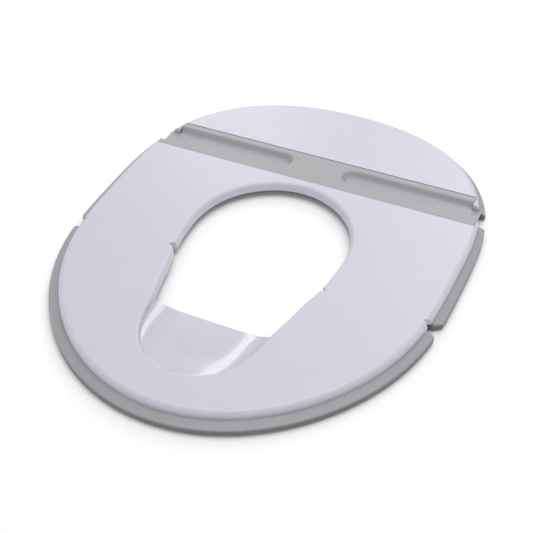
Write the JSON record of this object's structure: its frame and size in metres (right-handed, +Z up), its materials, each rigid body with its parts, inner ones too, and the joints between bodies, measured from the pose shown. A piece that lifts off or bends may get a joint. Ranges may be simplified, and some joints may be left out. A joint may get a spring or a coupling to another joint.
{
  "type": "folding potty training seat",
  "caption": "Flat oval child toilet training seat with a central opening, splash scoop, soft rim, and folding front and back panels joined by a hinged spine with finger troughs.",
  "frame": {"origin": "middle of the footprint, on the surface that the rubber pads rest on", "axes": "+X to the child's left hand side of the seat's width, +Y from the scoop at the front to the back panel, +Z up through the sitting surface"},
  "size_m": [0.3152, 0.4038, 0.014],
  "materials": {
    "white_plastic": "gloss moulded polypropylene, faint lilac white",
    "grey_soft_rim": "satin soft-touch thermoplastic rubber",
    "grey_plastic": "satin moulded polypropylene",
    "grey_base_plastic": "fine-textured moulded polypropylene",
    "pad_rubber": "matt rubber",
    "steel": "zinc-plated"
  },
  "bodies": {
    "middle": {"middle_shell": "white_plastic", "middle_rim_left": "grey_soft_rim", "middle_rim_right": "grey_soft_rim", "middle_base_left": "grey_base_plastic", "middle_base_right": "grey_base_plastic", "middle_screws": "steel", "middle_grip_pads": "pad_rubber", "film_hinge_left": "white_plastic", "film_hinge_right": "white_plastic", "spine_front_rod": "steel"},
    "front": {"front_shell": "white_plastic", "front_rim": "grey_soft_rim", "front_base": "grey_base_plastic", "front_screws": "steel", "front_grip_pads": "pad_rubber"},
    "spine": {"spine_link": "grey_plastic"},
    "back": {"back_shell": "white_plastic", "back_rim": "grey_soft_rim", "back_base": "grey_base_plastic", "back_screws": "steel", "back_grip_pads": "pad_rubber", "spine_rear_rod": "steel"}
  },
  "joints": [
    {"name": "front_fold", "type": "hinge", "parent": "middle", "child": "front", "pos_m": [0, -0.041, 0.01415], "axis": [1, 0, 0], "range_deg": [-180, 0]},
    {"name": "spine_fold", "type": "hinge", "parent": "middle", "child": "spine", "pos_m": [0, 0.0836, 0.0109], "axis": [1, 0, 0], "range_deg": [-90, 0]},
    {"name": "back_fold", "type": "hinge", "parent": "spine", "child": "back", "pos_m": [0, 0.1158, 0.0109], "axis": [1, 0, 0], "range_deg": [-90, 0]}
  ]
}
